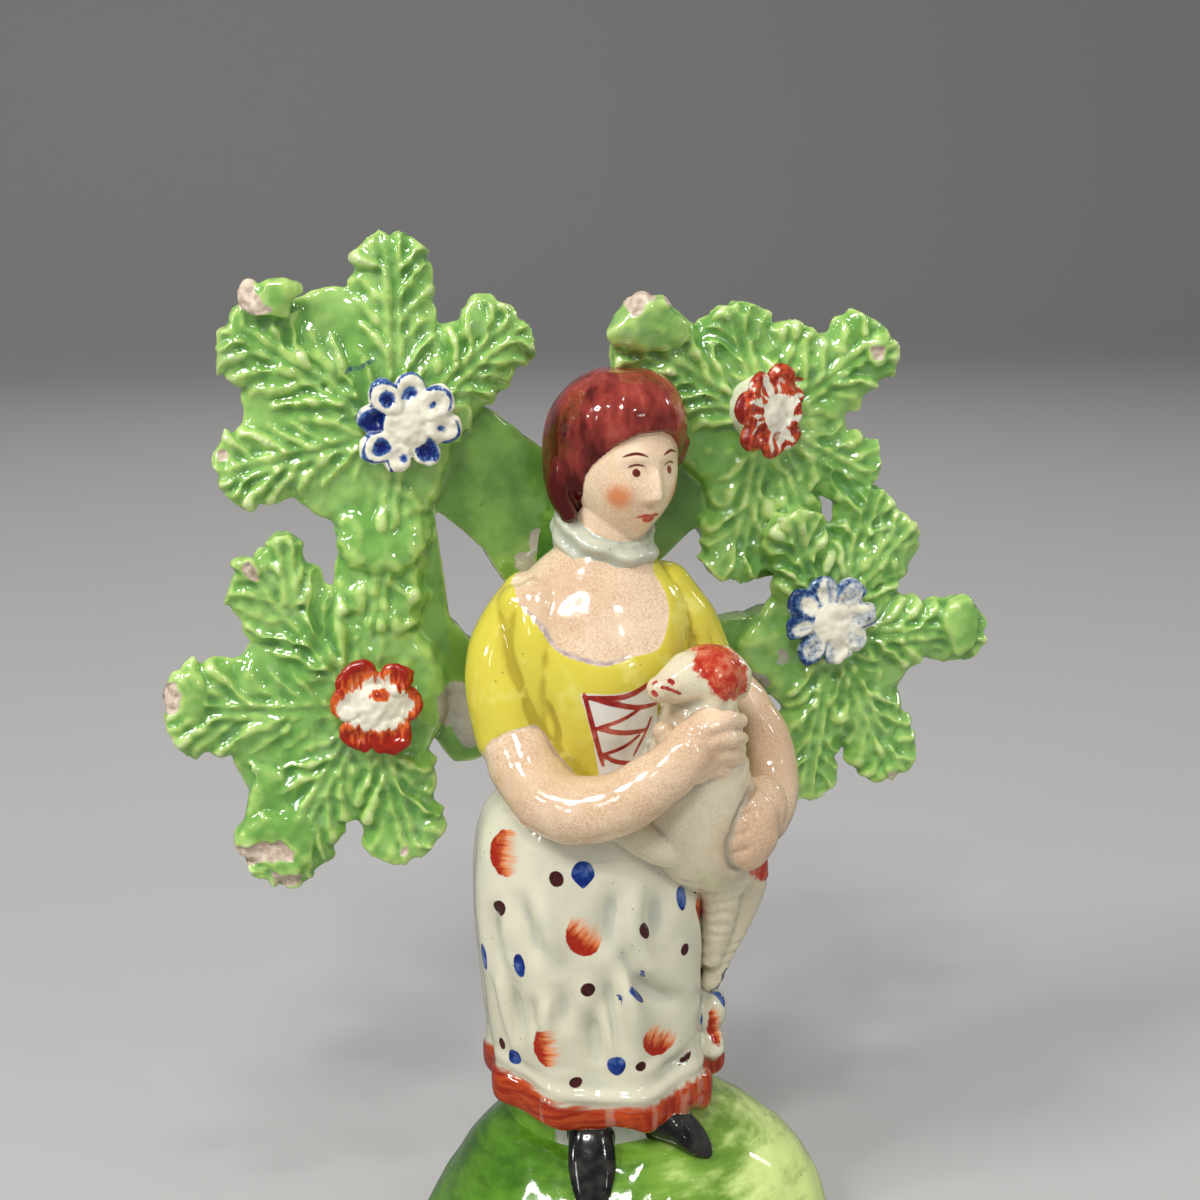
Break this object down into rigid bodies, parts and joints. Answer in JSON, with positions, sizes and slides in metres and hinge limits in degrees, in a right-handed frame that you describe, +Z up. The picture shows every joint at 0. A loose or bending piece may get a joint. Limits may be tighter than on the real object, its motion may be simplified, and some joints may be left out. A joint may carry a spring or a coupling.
{
  "type": "bocage figure",
  "caption": "Glazed earthenware figure of a girl holding a lamb, standing on a green mound before a screen of moulded leaves and painted flowers.",
  "frame": {"origin": "centre of the mound's flat underside", "axes": "+Z up to the leaf tips, she faces -Y, +X to the viewer's right"},
  "size_m": [0.1206, 0.054, 0.148],
  "materials": {
    "glaze": "glossy lead glaze over painted enamels"
  },
  "bodies": {
    "root": {"bocage_figure": "glaze"}
  },
  "joints": []
}
